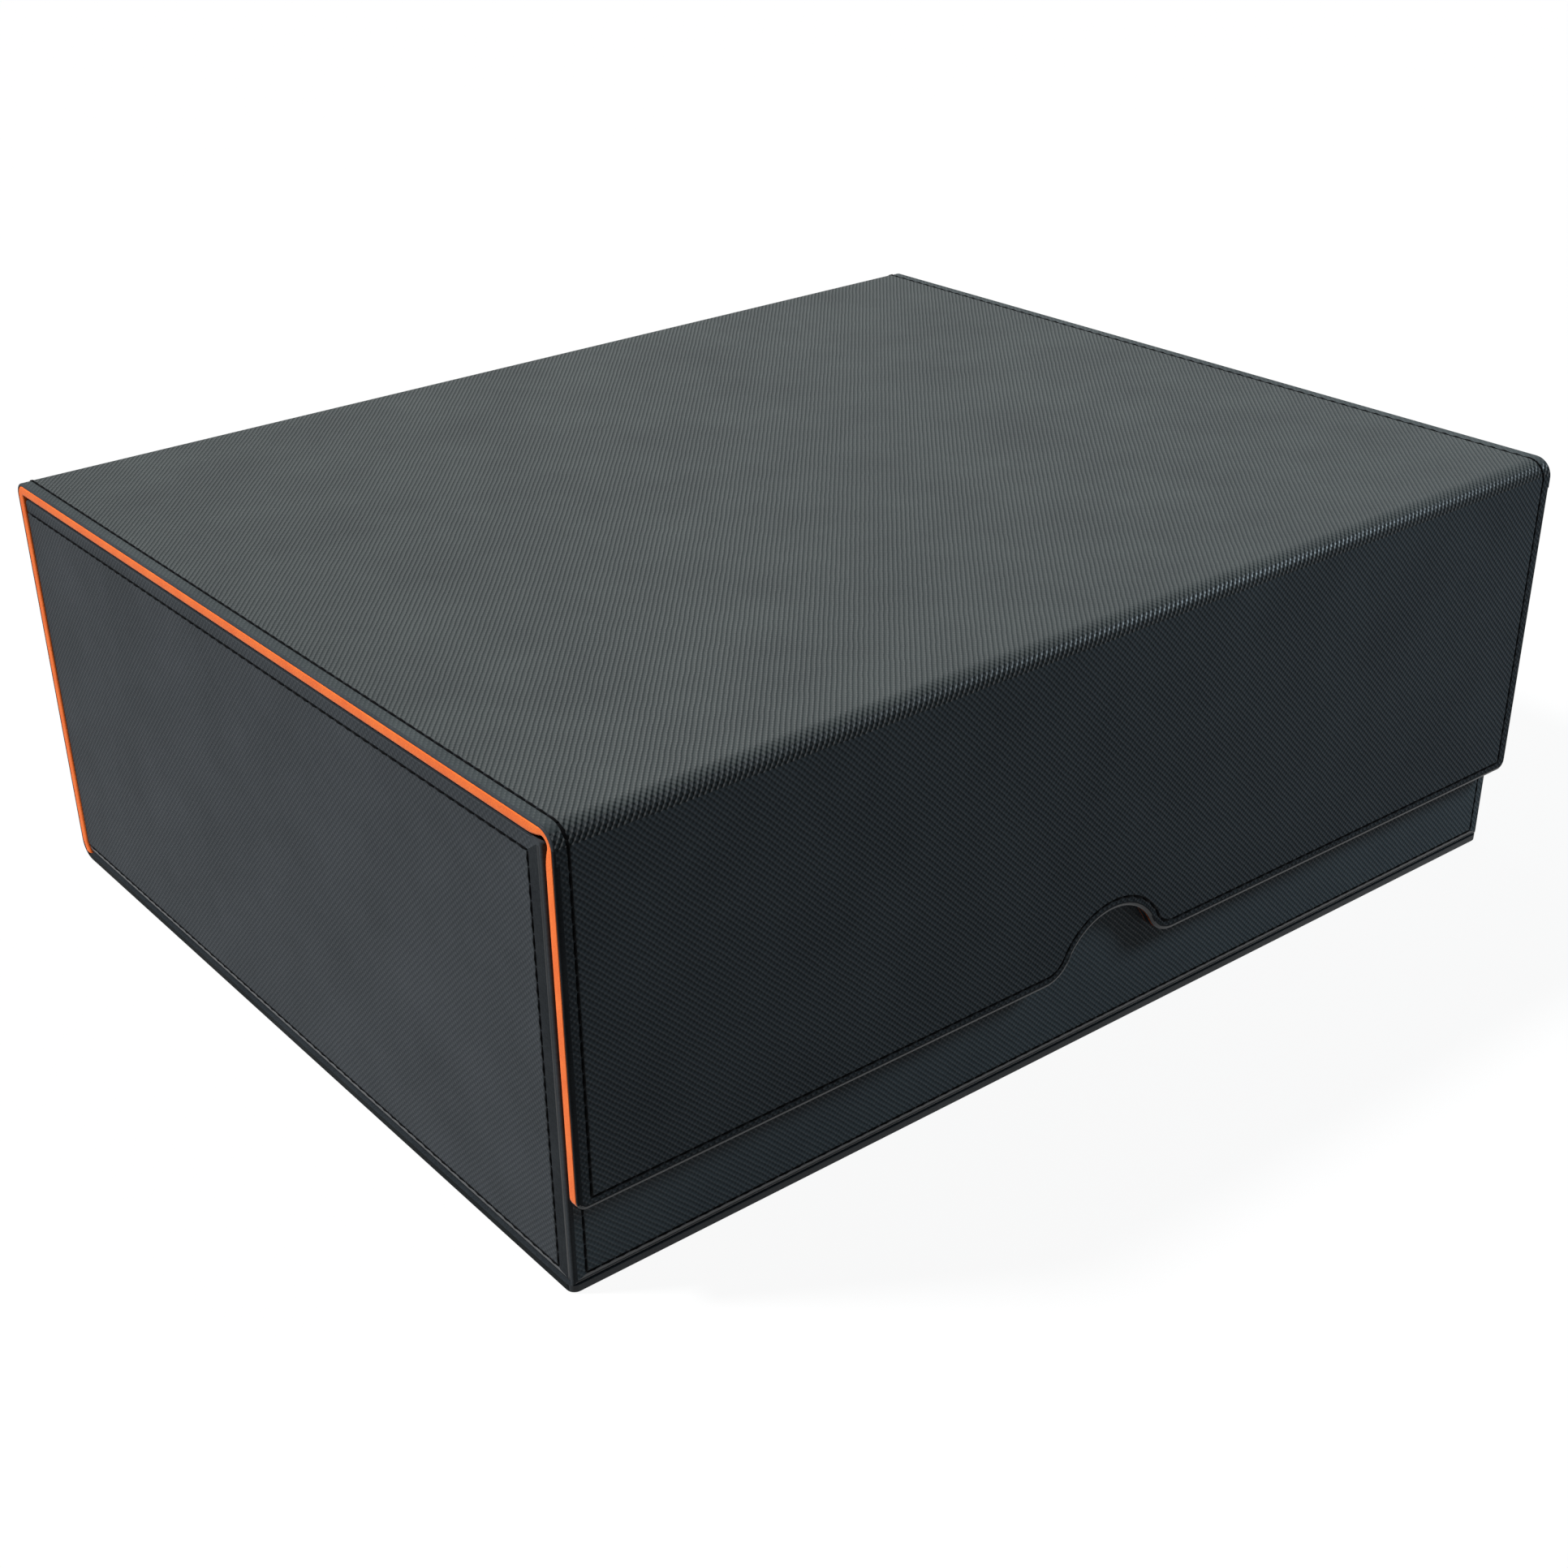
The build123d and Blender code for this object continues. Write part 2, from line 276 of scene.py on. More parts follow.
def finish_piece(piece, materials):
    """Close what is open, point the faces outwards, smooth the rolled edges and leave edit mode."""
    bpy.ops.mesh.select_all(action="SELECT")
    bpy.ops.mesh.fill_holes(sides=0)
    bpy.ops.mesh.normals_make_consistent(inside=False)
    bpy.ops.object.mode_set(mode="OBJECT")
    bpy.ops.object.shade_smooth_by_angle(angle=smooth_angle)
    for material in materials:
        piece.data.materials.append(material)
    return piece


def lay_grain(piece, across, along):
    """Give a sheet its own flat map, in metres, so that the embossing follows it round the folds."""
    layer = piece.data.uv_layers.new(name="grain")
    for corner in piece.data.loops:
        place = piece.data.vertices[corner.vertex_index].co
        layer.data[corner.index].uv = (across(place), along(place))


# Profiles of edges, as distances in from the edge with the height at each
def quarter_round(reach, rise, steps):
    """From an upright side round to a level face."""
    turns = [quarter * step / steps for step in range(steps + 1)]
    return [(reach * (1 - cos(turn)), rise * sin(turn)) for turn in turns]


def soft_edge(roll):
    """Round the edge of a cloth."""
    return quarter_round(roll, roll, soft_steps)


def rolled_edge(roll, reach):
    """Up the cut edge of the embossed sheet to its margin, with heights over its outer face."""
    drop = margin_drop + roll
    return [(inset, rise - drop) for inset, rise in quarter_round(reach, roll, roll_steps)]


def stitch_groove(seam):
    """On across the groove that a seam lies in, to the level rim of the field."""
    profile = []
    for step in range(groove_steps + 1):
        share = step / groove_steps
        rim = margin_drop * (1 - share)
        dip = (groove_depth - margin_drop / 2) * sin(pi * share) ** 2
        profile.append((seam + groove_reach * (2 * share - 1), -rim - dip))
    return [*profile, (seam + groove_reach + field_rim, 0)]


def cover_section(name, place):
    """Cross-section of the cover's sheet, as a closed line."""
    edge = [(0, -cover_sheet), *rolled_edge(edge_roll, edge_roll), *stitch_groove(cover_seam)]
    return mirrored_section(name, edge, place, cover_left, cover_right)


def cover_length(place):
    """How far back along the cover a place lies, from 0 where the lid starts. It is less on the flap."""
    if place.y < flap_fold.y:
        if place.z < flap_fold.z:
            return flap_fold_end + place.z - flap_fold.z
        return -flap_radius * atan2(flap_fold.y - place.y, place.z - flap_fold.z)
    if place.y > base_fold.y:
        if place.z < lid_fold.z:
            return lid_fold_end + lid_fold.z - place.z
        return lid_run + lid_radius * atan2(place.y - lid_fold.y, place.z - lid_fold.z)
    return place.y - flap_fold.y


def on_cover(length, width, height):
    """A place on the cover by its length along it, with the way along and the way out there."""
    if length < 0:
        angle = min(-length / flap_radius, quarter)
        out = Vector((0, -sin(angle), cos(angle)))
        along = Vector((0, -cos(angle), -sin(angle)))
        past = max(flap_fold_end - length, 0)
        start = flap_fold + flap_radius * out + past * along
    elif length < lid_run:
        out = UP
        along = REAR
        start = Vector((0, flap_fold.y + length, lid_top))
    else:
        angle = min((length - lid_run) / lid_radius, quarter)
        out = Vector((0, sin(angle), cos(angle)))
        along = Vector((0, cos(angle), -sin(angle)))
        past = max(length - lid_fold_end, 0)
        start = lid_fold + lid_radius * out + past * along
    return start + width * RIGHT + height * out, along, out


# Shader maths
class Value:
    """A number in a material. Python's operators on it add Math nodes."""

    def __init__(self, finish, socket):
        self.finish = finish
        self.socket = socket

    def maths(self, operation, first, second=0):
        return self.finish.number("ShaderNodeMath", {"operation": operation}, {0: first, 1: second})

    def __add__(self, other):
        return self.maths("ADD", self, other)

    def __radd__(self, other):
        return self.maths("ADD", other, self)

    def __sub__(self, other):
        return self.maths("SUBTRACT", self, other)

    def __rsub__(self, other):
        return self.maths("SUBTRACT", other, self)

    def __mul__(self, other):
        return self.maths("MULTIPLY", self, other)

    def __rmul__(self, other):
        return self.maths("MULTIPLY", other, self)

    def __truediv__(self, other):
        return self.maths("DIVIDE", self, other)

    def __rtruediv__(self, other):
        return self.maths("DIVIDE", other, self)

    def cosine(self):
        return self.maths("COSINE", self)

    def at_least(self, other):
        return self.maths("MAXIMUM", self, other)


class Finish:
    """A material, and the one method that adds nodes to it."""

    def __init__(self, name, tree=None):
        if tree is None:
            self.material = bpy.data.materials.new(name)
            self.material.use_nodes = True
            tree = self.material.node_tree
        self.tree = tree

    def node(self, kind, settings=None, sockets=None):
        """Add a node: its settings first, then the values or links of its sockets."""
        made = self.tree.nodes.new(kind)
        for name, setting in (settings or {}).items():
            setattr(made, name, setting)
        self.join(made, sockets or {})
        return made

    def join(self, node, sockets):
        """Set or link a node's sockets."""
        for name, given in sockets.items():
            if isinstance(given, Value):
                given = given.socket
            if isinstance(given, bpy.types.NodeSocket):
                self.tree.links.new(given, node.inputs[name])
            else:
                node.inputs[name].default_value = given

    def number(self, kind, settings, sockets):
        """Add a node, and give the number that comes out of it."""
        return Value(self, self.node(kind, settings, sockets).outputs[0])

    def surface(self, sockets):
        """Set or link sockets of the material's own shader."""
        self.join(self.tree.nodes["Principled BSDF"], sockets)
        return self.material

    def noise(self, place, grains_per_mm, detail=2.0, roughness=0.5):
        """Soft noise with so many grains to the millimetre."""
        sockets = {"Vector": place, "Scale": grains_per_mm / MM, "Detail": detail, "Roughness": roughness}
        return self.number("ShaderNodeTexNoise", {}, sockets)

    def blend(self, share, first, second):
        """A colour between two others. A Mix node has its colours at sockets 6 and 7, and gives one at 2."""
        sockets = {0: share, 6: first, 7: second}
        return self.node("ShaderNodeMix", {"data_type": "RGBA"}, sockets).outputs[2]

    def spread(self, given, low, high):
        """Stretch a number from low..high to 0..1, clamped."""
        sockets = {"Value": given, "From Min": low, "From Max": high}
        return self.number("ShaderNodeMapRange", {}, sockets)

    def bump(self, height, depth):
        """Surface relief of this depth, in metres, where height goes from 0 to 1."""
        sockets = {"Height": height, "Distance": depth, "Strength": 1.0}
        return self.node("ShaderNodeBump", {}, sockets).outputs[0]

    def object_place(self):
        return self.node("ShaderNodeTexCoord").outputs["Object"]


def colour(red, green, blue):
    """A colour as it is picked on a screen, made linear by the sRGB curve."""
    parts = []
    for part in (red, green, blue):
        share = part / 255
        parts.append(share / 12.92 if share < 0.04045 else ((share + 0.055) / 1.055) ** 2.4)
    return (*parts, 1.0)


def mixed(first, second, share):
    """Two numbers mixed, with this share of the second."""
    return first * (1 - share) + second * share


# Finishes
leather_specular = 0.008  # the sheet's own gloss is weak, and its crests shine by their coat


def embossed_leather(name, rib_depth, crest_gloss, first_share, deep, pale, coat=1.5):
    """Black imitation leather with two crossing sets of fine embossed ribs, whose crests shine.

    The first set's crests have first_share of the shine, and the second set's have the rest.
    """
    sway_turn = 2.4  # how far the ribs sway, in radians of their wave
    pore_share = 0.08  # of the relief
    patch_share = 0.7  # of the tone
    valley_roughness = 0.62
    crest_polish = 0.12
    patch_polish = 0.1
    finish = Finish(name)
    flat = finish.node("ShaderNodeUVMap", {"uv_map": "grain"}).outputs[0]
    parts = finish.node("ShaderNodeSeparateXYZ", {}, {0: flat})
    across = Value(finish, parts.outputs[0])
    along = Value(finish, parts.outputs[1])
    sway = finish.noise(flat, grains_per_mm=0.16) - 0.5
    pores = finish.noise(flat, grains_per_mm=2.4, detail=3.0)
    patches = finish.noise(flat, grains_per_mm=0.035, detail=4.0, roughness=0.6)
    ribs = []
    for turn in (first_rib_turn, second_rib_turn):
        phase = (across * cos(turn) + along * sin(turn)) / rib_pitch
        ribs.append((phase * (2 * pi) + sway * sway_turn).cosine() * 0.5 + 0.5)
    height = mixed(ribs[0], ribs[1], share=0.5)
    crests = finish.spread(mixed(ribs[1], ribs[0], first_share), low=0.6, high=0.95)
    tone = finish.spread(mixed(pores, patches, patch_share), low=0.25, high=0.75)
    return finish.surface({
        "Base Color": finish.blend(tone, deep, pale),
        "Roughness": valley_roughness - height * crest_polish + (patches - 0.5) * patch_polish,
        "Specular IOR Level": leather_specular,
        "Coat Weight": crests * crest_gloss,
        "Coat Roughness": 0.35,
        "Coat IOR": coat,
        "Normal": finish.bump(mixed(height, pores, pore_share), rib_depth),
    })


def pressed_leather(name, gloss, deep=colour(26, 29, 32), pale=colour(44, 48, 51)):
    """The same sheet where it is pressed flat, on rolled edges, in grooves and round the base. In the grooves
    its dark colour is painted shade.
    """
    pore_depth = 0.03 * MM
    pore_roughness = 0.14
    patch_gloss = 0.1
    finish = Finish(name)
    place = finish.object_place()
    pores = finish.noise(place, grains_per_mm=1.6, detail=4.0, roughness=0.6)
    patches = finish.noise(place, grains_per_mm=0.06, detail=3.0)
    tone = finish.spread(mixed(pores, patches, share=0.4), low=0.3, high=0.7)
    return finish.surface({
        "Base Color": finish.blend(tone, deep, pale),
        "Roughness": 0.5 + pores * pore_roughness,
        "Specular IOR Level": leather_specular,
        "Coat Weight": gloss + patches * patch_gloss,
        "Coat Roughness": 0.3,
        "Normal": finish.bump(pores, pore_depth),
    })


def sewing_thread():
    """Black twisted thread, with a faint bloom of loose fibres."""
    ply_depth = 0.06 * MM
    ply_roughness = 0.2
    finish = Finish("sewing_thread")
    place = finish.object_place()
    ply = finish.noise(place, grains_per_mm=2.6)
    bloom = finish.noise(place, grains_per_mm=0.4, detail=3.0)
    return finish.surface({
        "Base Color": finish.blend(mixed(ply, bloom, share=0.3), colour(3, 3, 4), colour(14, 15, 16)),
        "Roughness": 0.7 + ply * ply_roughness,
        "Specular IOR Level": 0.03,
        "Normal": finish.bump(ply, ply_depth),
    })


def napped_cloth(name, deep, pale):
    """Microfibre with a short brushed nap: fine fibres over soft cloudy patches."""
    nap_depth = 0.09 * MM
    nap_roughness = 0.18
    finish = Finish(name)
    place = finish.object_place()
    fibres = finish.noise(place, grains_per_mm=3.2, detail=3.0, roughness=0.65)
    brushed = finish.noise(place, grains_per_mm=0.11, detail=3.0, roughness=0.6)
    tone = finish.spread(mixed(fibres, brushed, share=0.55), low=0.32, high=0.68)
    return finish.surface({
        "Base Color": finish.blend(tone, deep, pale),
        "Roughness": 0.8 + fibres * nap_roughness,
        "Specular IOR Level": 0.15,
        "Sheen Weight": 0.12,
        "Sheen Roughness": 0.5,
        "Normal": finish.bump(fibres, nap_depth),
    })


def greyboard():
    """Dense grey board pressed from waste paper, flecked with fibres."""
    pulp_depth = 0.05 * MM
    pulp_roughness = 0.1
    fleck_share = 0.5
    finish = Finish("greyboard")
    place = finish.object_place()
    pulp = finish.noise(place, grains_per_mm=0.5, detail=5.0, roughness=0.65)
    flecks = finish.spread(finish.noise(place, grains_per_mm=1.4, detail=1.0), low=0.62, high=0.7)
    paper = finish.blend(pulp, colour(150, 145, 137), colour(186, 182, 174))
    return finish.surface({
        "Base Color": finish.blend(flecks * fleck_share, paper, colour(96, 90, 82)),
        "Roughness": 0.85 + pulp * pulp_roughness,
        "Specular IOR Level": 0.2,
        "Normal": finish.bump(pulp, pulp_depth),
    })


def plated_steel(name, deep, pale):
    """Plated steel with fine rolling marks along it."""
    mark_depth = 0.01 * MM
    mark_roughness = 0.16
    mark_stretch = (0.04, 1.0, 1.0)
    finish = Finish(name)
    stretched = finish.node("ShaderNodeMapping", {}, {0: finish.object_place(), "Scale": mark_stretch})
    marks = finish.noise(stretched.outputs[0], grains_per_mm=2.0, detail=3.0)
    return finish.surface({
        "Base Color": finish.blend(marks, deep, pale),
        "Metallic": 1.0,
        "Roughness": 0.28 + marks * mark_roughness,
        "Normal": finish.bump(marks, mark_depth),
    })


# The leathers below are all one black sheet. Their colours differ face by face as painted light and shade,
# for how the light falls on each face: the front wall's is painted lighter; the folds', the flap margin's and
# the side walls' are painted darker; and the flap's and the front wall's are painted bluer, for the cool
# light on the front.
grained = embossed_leather(
    "lid_leather", rib_height, crest_gloss=0.35, first_share=0.8,
    deep=colour(64, 68, 69), pale=colour(77, 82, 82),
)
fold_leather_painted_shade = embossed_leather(
    "fold_leather_painted_shade", fold_rib_height, crest_gloss=0.45, first_share=0.78, coat=1.9,
    deep=colour(50, 54, 56), pale=colour(66, 70, 72),
)
flap_grained = embossed_leather(
    "flap_leather", flap_rib_height, crest_gloss=0.22, first_share=0.15,
    deep=colour(63, 68, 72), pale=colour(77, 83, 87),
)
flap_margin_painted_shade = embossed_leather(
    "flap_margin_leather_painted_shade", flap_rib_height, crest_gloss=0.2, first_share=0.3,
    deep=colour(46, 50, 53), pale=colour(70, 75, 79),
)
front_wall_painted_light = embossed_leather(
    "front_wall_leather_painted_light", wall_rib_height, crest_gloss=0.22, first_share=0.15,
    deep=colour(79, 86, 91), pale=colour(94, 102, 106),
)
margin_grained = embossed_leather(
    "margin_leather", margin_rib_height, crest_gloss=0.2, first_share=0.7,
    deep=colour(56, 61, 63), pale=colour(76, 82, 83),
)
side_painted_shade = embossed_leather(
    "side_leather_painted_shade", side_rib_height, crest_gloss=0.2, first_share=0.7,
    deep=colour(52, 56, 59), pale=colour(67, 71, 75),
)
side_margin_painted_shade = embossed_leather(
    "side_margin_leather_painted_shade", side_rib_height, crest_gloss=0.2, first_share=0.7,
    deep=colour(50, 54, 57), pale=colour(64, 68, 72),
)
pressed = pressed_leather("pressed_leather", gloss=0.5)
polished = pressed_leather("polished_leather", gloss=0.9)
dull_and_groove_shade_leather = pressed_leather("dull_and_groove_shade_leather", gloss=0.0)
# Painted shade for the base's sides.
painted_shade_leather = pressed_leather("painted_shade_leather", gloss=0.0, deep=colour(16, 19, 20), pale=colour(28, 32, 33))
rim_and_groove_shade_leather = pressed_leather("rim_and_groove_shade_leather", gloss=0.0, deep=colour(50, 54, 57), pale=colour(66, 70, 74))
base_leather = pressed_leather("base_leather", gloss=0.3, deep=colour(34, 38, 42), pale=colour(52, 57, 61))
thread = sewing_thread()
orange_nap = napped_cloth("orange_nap", colour(234, 100, 30), colour(255, 126, 46))
black_nap = napped_cloth("black_nap", colour(34, 34, 36), colour(56, 56, 58))
slot_finishes = {
    "leather": base_leather,
    "lining": orange_nap,
    "divider_cloth": black_nap,
    "greyboard": greyboard(),
    "magnet": plated_steel("nickel_plate", colour(186, 184, 178), colour(214, 212, 206)),
    "keeper_steel": plated_steel("zinc_plate", colour(170, 174, 180), colour(198, 202, 208)),
}


def dress_solids():
    """Give each solid of the frame the finish of its slot."""
    for subpart in frame["record"]["subparts"]:
        solid = frame["nodes"][subpart["node"]]
        solid.data.materials.clear()
        solid.data.materials.append(slot_finishes[subpart["material_slot"]])


# Stitches: one is modelled, and the rows are its copies
def one_stitch():
    """A plump dash of thread along Z that faces Y, with its ends bent down into their holes."""
    bpy.ops.object.select_all(action="DESELECT")
    bpy.ops.mesh.primitive_uv_sphere_add(
        segments=stitch_sides, ring_count=stitch_rings, radius=stitch_width / 2)
    stitch = bpy.context.object
    bpy.ops.object.mode_set(mode="EDIT")
    for end in (UP, -UP):
        bpy.ops.mesh.select_all(action="DESELECT")
        mesh = bmesh.from_edit_mesh(stitch.data)
        for point in mesh.verts:
            point.select_set(point.co.dot(end) > same_place)
        bmesh.update_edit_mesh(stitch.data)
        bpy.ops.transform.translate(value=end * (stitch_length - stitch_width) / 2 - REAR * stitch_dip)
    bpy.ops.object.mode_set(mode="OBJECT")
    bpy.ops.object.shade_smooth()
    stitch.data.materials.append(thread)
    return stitch


def stitch_row(name, places):
    """One mesh of stitches, from places that each give a point, the way along the seam and the way out."""
    bpy.ops.object.select_all(action="DESELECT")
    for point, along, out in places:
        side = out.cross(along)
        turn = Matrix((side, out, along)).transposed().to_4x4()
        copy = bpy.data.objects.new(name, pattern_stitch.data.copy())
        copy.data.transform(Matrix.Translation(point) @ turn)
        bpy.context.scene.collection.objects.link(copy)
        copy.select_set(True)
        bpy.context.view_layer.objects.active = copy
    bpy.ops.object.join()
    row = bpy.context.object
    row.name = name
    row.data.name = name
    return row


def along_seam(corners, out, kept):
    """Places for stitches round a closed seam, where kept() is true."""
    lift = out * stitch_lift
    spare_run = 0.0
    for here, there in zip(corners, corners[1:] + corners[:1]):
        run = (there - here).length
        if run < same_place:
            continue
        way = (there - here) / run
        straight = run > even_stitches * stitch_pitch
        pitch = run / int(run / stitch_pitch) if straight else stitch_pitch
        reach = pitch / 2 if straight else spare_run
        while reach < run:
            point = here + way * reach
            if kept(point):
                yield point + lift, way, out
            reach += pitch
        spare_run = reach - run


# Paint: the place of each leather among a sheet's materials
FIELD, MARGIN, EDGE, DULL_EDGE_AND_GROOVE_SHADE, LOW_MARGIN = range(5)


def paint_selected(piece, part):
    """Paint the selected face. What is worked inwards from it takes its paint."""
    mesh = bmesh.from_edit_mesh(piece.data)
    for face in mesh.faces:
        if face.select:
            face.material_index = part
    bmesh.update_edit_mesh(piece.data)


def paint_edges(piece, out):
    """Edge leather where the edges of a flat sheet look down, and dull on its other edges and its back."""
    for face in piece.data.polygons:
        if face.material_index == EDGE or face.normal.dot(out) < edge_lean_share:
            face.material_index = EDGE if face.normal.z < -edge_lean_share else DULL_EDGE_AND_GROOVE_SHADE


def paint_low_margin(piece, seam):
    """Polished leather on a wall's margin under its lower seam."""
    for face in piece.data.polygons:
        if face.material_index == MARGIN and face.center.z < seam:
            face.material_index = LOW_MARGIN


def paint_side(piece, out, seam, top):
    """A side wall's margin is dark before the seam and runs on up the top edge. The front edge shines."""
    for face in piece.data.polygons:
        in_front = face.center.y < seam
        rolls_up = face.center.z > top and face.normal.dot(out) > crest_lean_share
        if in_front and face.material_index == MARGIN:
            face.material_index = DULL_EDGE_AND_GROOVE_SHADE
        elif in_front and face.material_index == DULL_EDGE_AND_GROOVE_SHADE and -face.normal.y > edge_lean_share:
            face.material_index = EDGE
        elif rolls_up and face.material_index == DULL_EDGE_AND_GROOVE_SHADE:
            face.material_index = MARGIN


# Cover: back, lid and flap, and the folds between them, each with leathers for field, margin, edge, and dull
# edges with the groove's painted shade
lid_leathers = (grained, margin_grained, rim_and_groove_shade_leather, dull_and_groove_shade_leather)
fold_leathers = (fold_leather_painted_shade, fold_leather_painted_shade, rim_and_groove_shade_leather, dull_and_groove_shade_leather)
low_leathers = (flap_grained, flap_margin_painted_shade, dull_and_groove_shade_leather, dull_and_groove_shade_leather)
cover_leathers = lid_leathers + fold_leathers + low_leathers
# The fold's leather there has bigger ribs and more shine for the stretch, and a darker colour that is painted
# shade.
stretch_start = -3.6 * MM  # lengths along the cover between which the flap's fold is stretched
stretch_end = -7.0 * MM


def place_on(length):
    """Turns a width and a height into a point at this length along the cover."""
    return lambda width, height: on_cover(length, width, height)[0]


def cover_part(face):
    """Place of a face's leather in cover_leathers, by how far in from the edge it lies and how far along."""
    inset = min(face.center.x - cover_left, cover_right - face.center.x)
    length = cover_length(face.center)
    # The bottom of the groove gets painted shade.
    if abs(inset - cover_seam) < 2 * groove_reach * groove_shade_steps / groove_steps:
        part = DULL_EDGE_AND_GROOVE_SHADE
    elif inset > cover_seam:
        part = FIELD
    else:
        part = MARGIN if inset > edge_roll else EDGE
    zone = (length < stretch_start) + (length < stretch_end)
    return zone * len(lid_leathers) + part


def finish_cover_sheet(piece):
    """Give a sheet of the cover its leathers and its grain."""
    finish_piece(piece, cover_leathers)
    for face in piece.data.polygons:
        face.material_index = cover_part(face)
    lay_grain(piece, lambda place: place.x, cover_length)
    return piece


def back_sheet():
    """From under the rear edge of the box up the back."""

    def under(width, height):
        return Vector((width, base_fold.y, -height))

    piece = cover_section("back_sheet", under)
    arc(base_fold, quarter, RIGHT, fold_steps)
    sweep(UP * (lid_fold.z - sheet_reach - base_fold.z))
    finish_cover_sheet(piece)
    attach(piece, "box")
    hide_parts("back_skin")


def lid_sheet():
    piece = cover_section("lid_sheet", place_on(lid_run - sheet_reach))
    sweep(REAR * (2 * sheet_reach - lid_run))
    finish_cover_sheet(piece)
    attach(piece, "lid")
    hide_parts("top_skin")


def bend_at_lid(piece):
    """Bake the transform of a piece at the fold between the back and the lid into its mesh."""
    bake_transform(piece)


def bend_at_flap(piece):
    """Bake the transform of a piece at the fold between the lid and the flap into its mesh."""
    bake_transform(piece)


def lid_fold_sheet():
    piece = cover_section("lid_fold_sheet", place_on(lid_fold_end + sheet_reach))
    sweep_round(lid_fold, UP, -REAR, sheet_reach)
    finish_cover_sheet(piece)
    bend_at_lid(piece)
    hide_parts("lid_fold_skin")


def flap_fold_sheet():
    piece = cover_section("flap_fold_sheet", place_on(sheet_reach))
    sweep_round(flap_fold, -REAR, -UP, sheet_reach)
    finish_cover_sheet(piece)
    bend_at_flap(piece)
    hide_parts("flap_fold_skin")


def draw_flap(name, face, top):
    """Outline of the flap with its finger notch, at y = face, as one selected face that looks forward."""
    low = flap_low.z
    reach = notch_width / 2
    arch = (reach**2 + notch_height**2) / (2 * notch_height) - notch_shoulder
    arch_rise = low + notch_height - arch
    shoulder_rise = low + notch_shoulder
    lean = atan2(reach, shoulder_rise - arch_rise)
    forward = -REAR
    piece = start_piece(name, Vector((cover_left, face, top)))
    line(UP * (low + flap_corner - top))
    arc((cover_left + flap_corner, face, low + flap_corner), quarter, forward, flap_corner_steps)
    line(RIGHT * (cover_middle - reach - cover_left - flap_corner))
    arc((cover_middle - reach, face, shoulder_rise), lean, forward, notch_shoulder_steps)
    arc((cover_middle, face, arch_rise), -2 * lean, forward, notch_arch_steps)
    arc((cover_middle + reach, face, shoulder_rise), lean, forward, notch_shoulder_steps)
    line(RIGHT * (cover_right - flap_corner - cover_middle - reach))
    arc((cover_right - flap_corner, face, low + flap_corner), quarter, forward, flap_corner_steps)
    line(UP * (top - low - flap_corner))
    close_outline(piece)
    fill_outline(piece, forward)
    return piece


def work_inwards(profile):
    """Inset the selected face along a profile of distances in and heights."""
    for here, there in zip(profile, profile[1:]):
        bpy.ops.mesh.inset(thickness=there[0] - here[0], depth=there[1] - here[1], use_even_offset=True)
        bpy.ops.mesh.remove_doubles(threshold=corner_merge)


def raise_sheet(piece, out, thickness, roll, groove):
    """Give a flat outline its thickness, a rolled edge and a margin, up to the groove."""
    edge = rolled_edge(roll, roll_reach)
    paint_selected(piece, EDGE)
    sweep(out * (thickness + edge[0][1]))
    work_inwards(edge)
    paint_selected(piece, MARGIN)
    work_inwards([edge[-1], groove[0]])


def sink_seam(piece, groove):
    """Work the groove in and on to the field, with painted shade at its bottom, and give the corners of its
    seam.
    """
    middle = groove_steps // 2
    shade_start = middle - groove_shade_steps
    shade_end = middle + groove_shade_steps
    work_inwards(groove[:shade_start + 1])
    paint_selected(piece, DULL_EDGE_AND_GROOVE_SHADE)
    work_inwards(groove[shade_start:middle + 1])
    seam = selected_outline(piece)
    work_inwards(groove[middle:shade_end + 1])
    paint_selected(piece, FIELD)
    work_inwards(groove[shade_end:])
    return seam


def flap_sheet():
    """The flap's outer sheet. Its lower edge, notch and sides are rolled, and the seam follows them."""
    top = flap_fold.z - sheet_reach
    out = -REAR
    piece = draw_flap("flap_sheet", flap_low.y + cover_sheet, top + spare)
    groove = stitch_groove(flap_seam)
    raise_sheet(piece, out, cover_sheet, flap_roll, groove)
    half_width = (cover_right - cover_left) / 2 - groove[0][0]
    narrower = 1 - (cover_seam - flap_seam) / half_width
    bpy.ops.transform.resize(value=(narrower, 1, 1), center_override=(cover_middle, 0, 0))
    seam = sink_seam(piece, groove)
    cut((0, 0, top), UP)
    finish_piece(piece, (flap_grained, flap_margin_painted_shade, pressed, dull_and_groove_shade_leather))
    paint_edges(piece, out)
    lay_grain(piece, lambda place: place.x, cover_length)
    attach(piece, "flap")
    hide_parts("flap_skin")
    rows = stitch_row("flap_stitches", along_seam(seam, out, lambda point: point.z < top))
    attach(rows, "flap")


def cover_stitches(name, start, end):
    """Stitches along both side edges of the cover between two lengths along it."""
    places = []
    height = stitch_lift - groove_depth
    for width in (cover_left + cover_seam, cover_right - cover_seam):
        first = int(start // stitch_pitch) + 1
        last = int(end // stitch_pitch) + 1
        for count in range(first, last):
            places.append(on_cover(count * stitch_pitch, width, height))
    return stitch_row(name, places)


# Lining of the cover: trays of napped cloth round the boards, and solid strips at the folds
def lining_corner():
    """Profile round the lower outer corner of the lining, from the side to the underside."""
    return [(inset, lining_round - panel - drop) for inset, drop in soft_edge(lining_round)]


